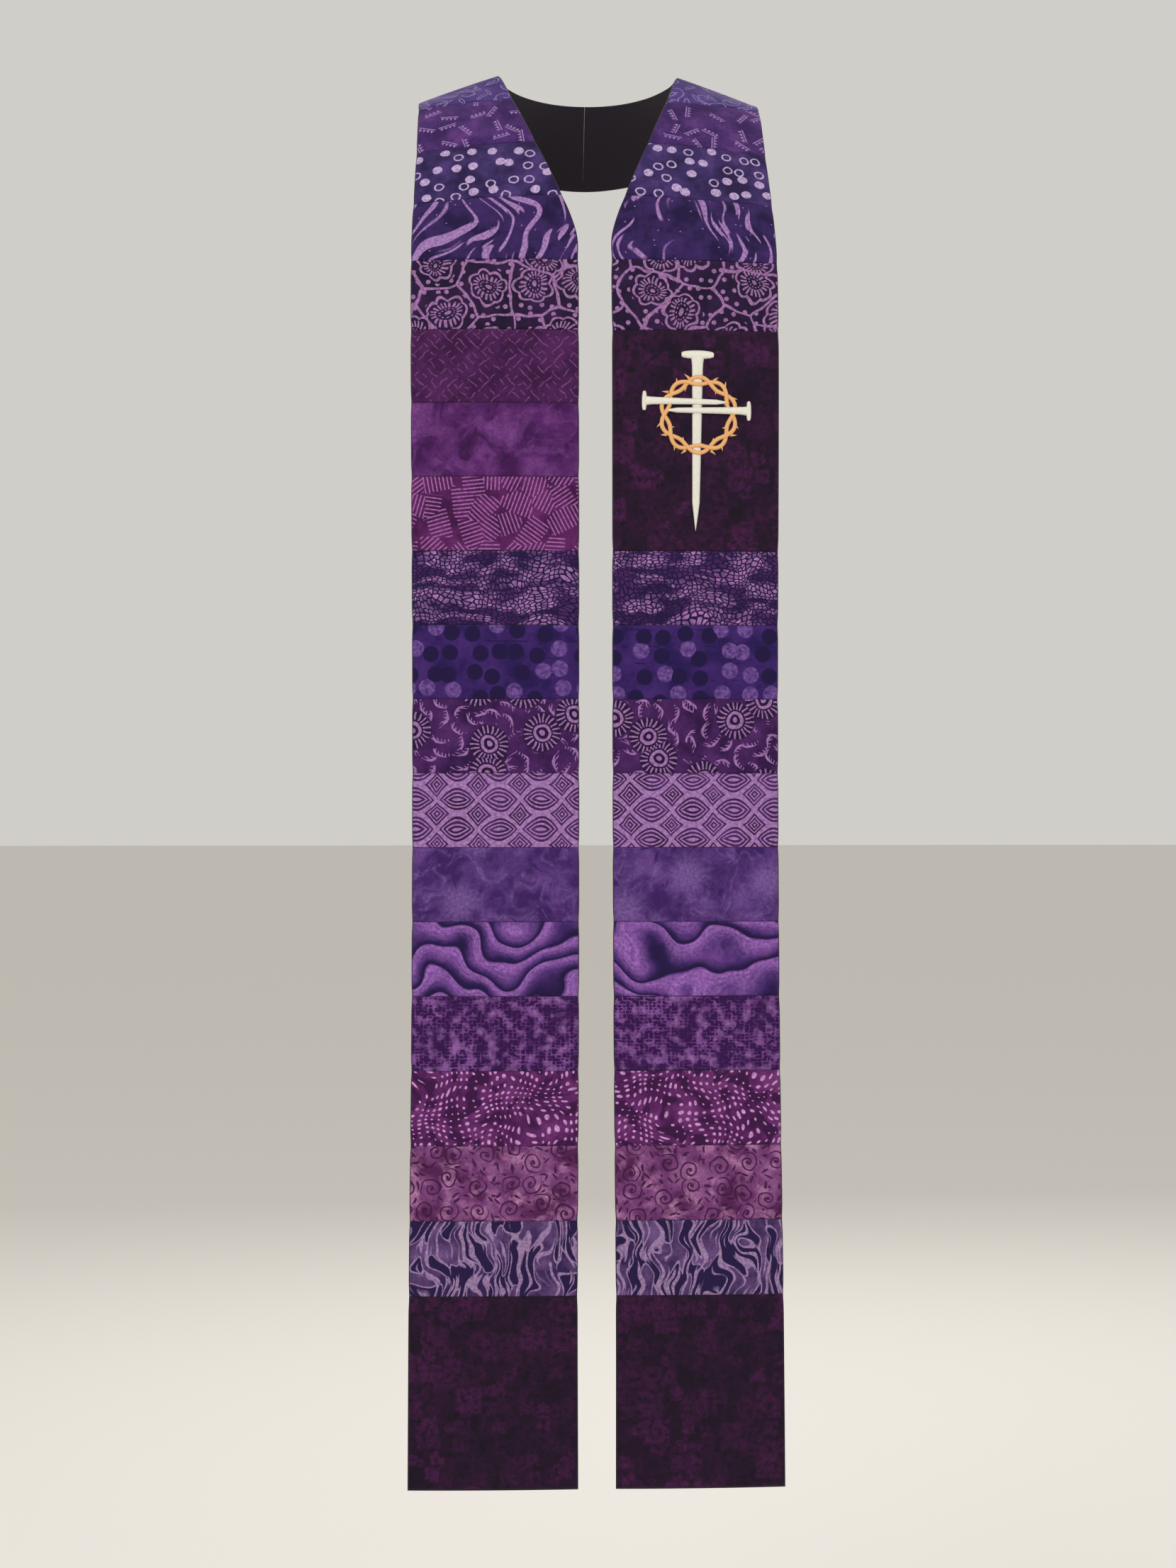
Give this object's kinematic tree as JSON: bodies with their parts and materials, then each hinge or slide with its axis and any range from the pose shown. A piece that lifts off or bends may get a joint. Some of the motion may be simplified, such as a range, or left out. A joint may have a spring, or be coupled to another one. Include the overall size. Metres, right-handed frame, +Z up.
{
  "type": "clerical stole",
  "caption": "Clerical stole of purple patchwork bands with an embroidered cross of nails, kept in its worn shape round an empty neck and shoulders.",
  "frame": {"origin": "middle of the centre back seam, on the lining's face that rests on the nape", "axes": "+Z up, the wearer faces -Y, +X is the wearer's left; the YZ plane lies between the two bands"},
  "size_m": [0.2894, 0.2634, 1.1203],
  "materials": {
    "swirl_cotton": "batik quilting cotton, blue-violet with pale swirls",
    "triangle_cotton": "batik quilting cotton, violet with rows of small triangles and lines",
    "ring_cotton": "batik quilting cotton, blue-violet with pale rings and dots",
    "streak_cotton": "batik quilting cotton, deep blue-violet with pale tapered streaks",
    "fan_cotton": "batik quilting cotton, dark aubergine with scalloped fan outlines",
    "crackle_cotton": "batik quilting cotton, dark plum with fine wax-crackle lines",
    "mottle_cotton": "batik quilting cotton, plum with soft blotches",
    "basket_cotton": "batik quilting cotton, plum with basketweave blocks of fine lines",
    "block_cotton": "batik quilting cotton, almost black plum with faint brick-like blocks",
    "cobble_cotton": "batik quilting cotton, violet with wavy bands of small cobbles",
    "spot_cotton": "batik quilting cotton, dark blue-violet with large soft spots and dark dashes",
    "sunburst_cotton": "batik quilting cotton, dark plum with daisies and rays",
    "ogee_cotton": "batik quilting cotton, dark plum with an ogee lattice",
    "cloud_cotton": "batik quilting cotton, violet with soft clouds and fine rays",
    "satin_cotton": "batik quilting cotton, violet with watered bands",
    "mesh_cotton": "batik quilting cotton, violet with a dark dashed mesh",
    "dot_cotton": "batik quilting cotton, red-violet with curved rows of small pale dots",
    "scroll_cotton": "batik quilting cotton, dusky rose-violet with dark scrolls",
    "plume_cotton": "batik quilting cotton, grey-violet with dark feathered plumes",
    "lining": "plain-weave cotton lining, purple-black, matt",
    "silver_thread": "rayon embroidery thread in satin stitch, silver grey",
    "gold_thread": "rayon embroidery thread in satin stitch, antique gold"
  },
  "bodies": {
    "root": {"left_hem_block": "block_cotton", "left_plume": "plume_cotton", "left_scroll": "scroll_cotton", "left_dot": "dot_cotton", "left_mesh": "mesh_cotton", "left_satin": "satin_cotton", "left_cloud": "cloud_cotton", "left_ogee": "ogee_cotton", "left_sunburst": "sunburst_cotton", "left_spot": "spot_cotton", "left_cobble": "cobble_cotton", "left_emblem_block": "block_cotton", "left_fan": "fan_cotton", "left_streak": "streak_cotton", "left_ring": "ring_cotton", "left_triangle": "triangle_cotton", "left_neck_swirl": "swirl_cotton", "left_lining": "lining", "right_hem_block": "block_cotton", "right_plume": "plume_cotton", "right_scroll": "scroll_cotton", "right_dot": "dot_cotton", "right_mesh": "mesh_cotton", "right_satin": "satin_cotton", "right_cloud": "cloud_cotton", "right_ogee": "ogee_cotton", "right_sunburst": "sunburst_cotton", "right_spot": "spot_cotton", "right_cobble": "cobble_cotton", "right_basket": "basket_cotton", "right_mottle": "mottle_cotton", "right_crackle": "crackle_cotton", "right_fan": "fan_cotton", "right_streak": "streak_cotton", "right_ring": "ring_cotton", "right_triangle": "triangle_cotton", "right_neck_swirl": "swirl_cotton", "right_lining": "lining"}
  },
  "joints": []
}
